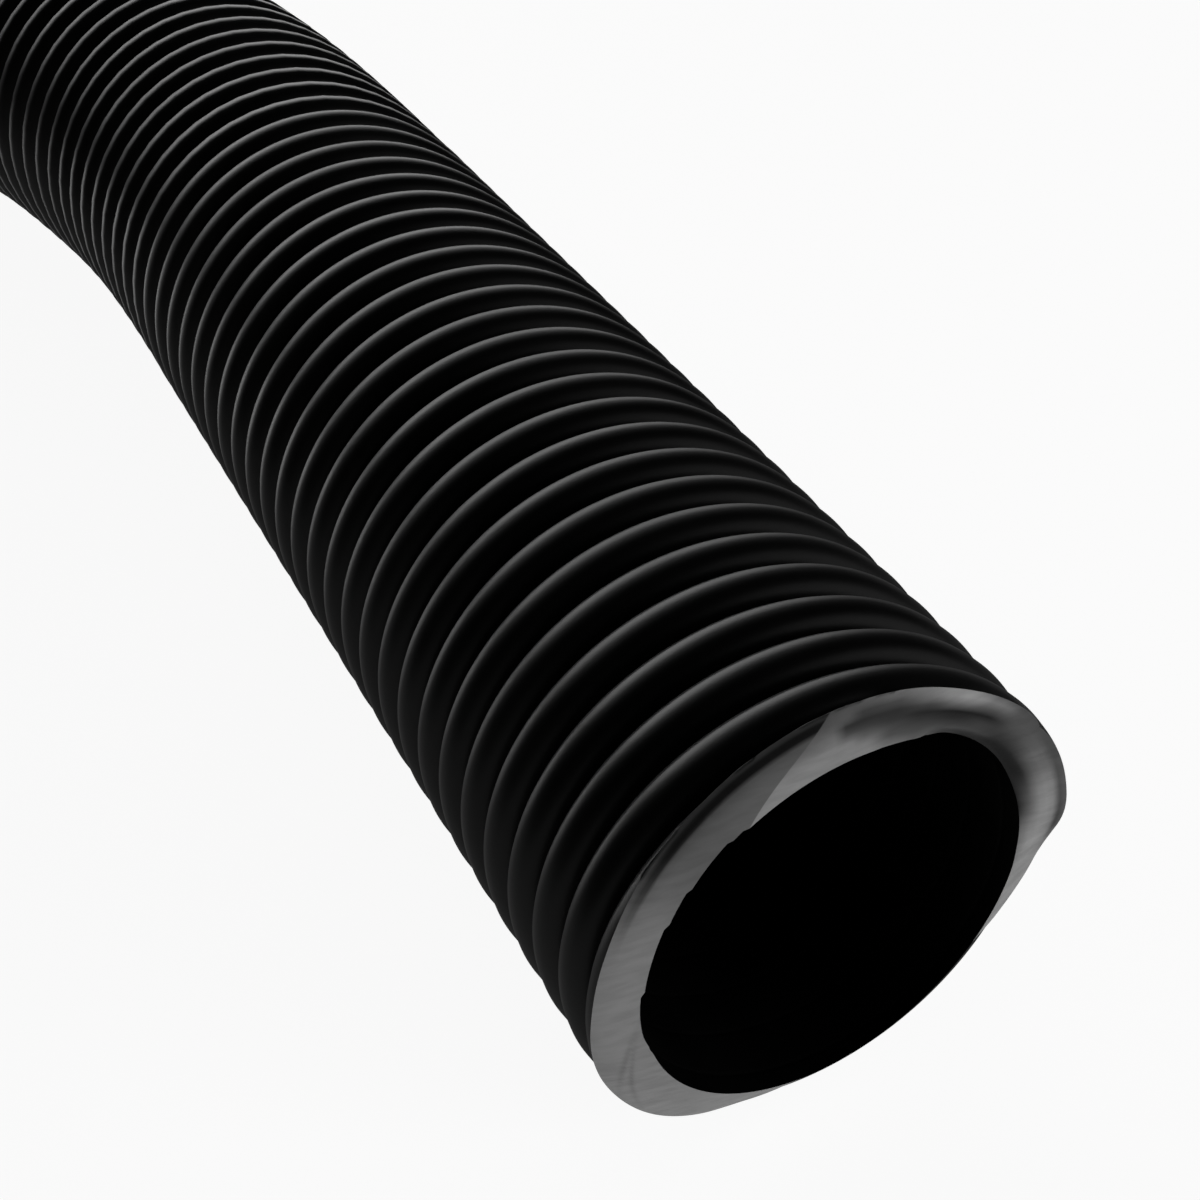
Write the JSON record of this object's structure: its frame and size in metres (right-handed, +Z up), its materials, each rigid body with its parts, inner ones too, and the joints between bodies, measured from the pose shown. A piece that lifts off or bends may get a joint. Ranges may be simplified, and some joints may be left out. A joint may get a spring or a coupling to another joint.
{
  "type": "pool vacuum hose",
  "caption": "Black spiral-wound pool vacuum hose with a smooth bore, one bare cut end and a swivel cuff on the other, bent round into a strapped coil.",
  "frame": {"origin": "centre of the hose's bare mouth, on the bore's axis", "axes": "+Y along the straight end, into the hose; +Z up; the coil lies on the -X side"},
  "size_m": [0.7351, 0.6388, 0.1547],
  "materials": {
    "hose": "satin",
    "cut_face": "matte",
    "cuff": "satin",
    "cuff_ring": "satin",
    "seal": "matte",
    "strap": "matte"
  },
  "bodies": {
    "hose": {"hose_mouth": "hose", "hose_lead": "hose", "hose_coil": "hose", "hose_rise": "hose", "hose_tail": "hose", "cuff_sleeve": "cuff", "seal_ring": "seal", "tie_strap_1": "strap", "tie_strap_2": "strap", "tie_strap_3": "strap"},
    "swivel": {"swivel_housing": "cuff", "retaining_ring": "cuff_ring"}
  },
  "joints": [
    {"name": "cuff_swivel", "type": "hinge", "parent": "hose", "child": "swivel", "pos_m": [-0.6621, 0.05033, 0.1005], "axis": [0, -1, 0], "continuous": true}
  ]
}
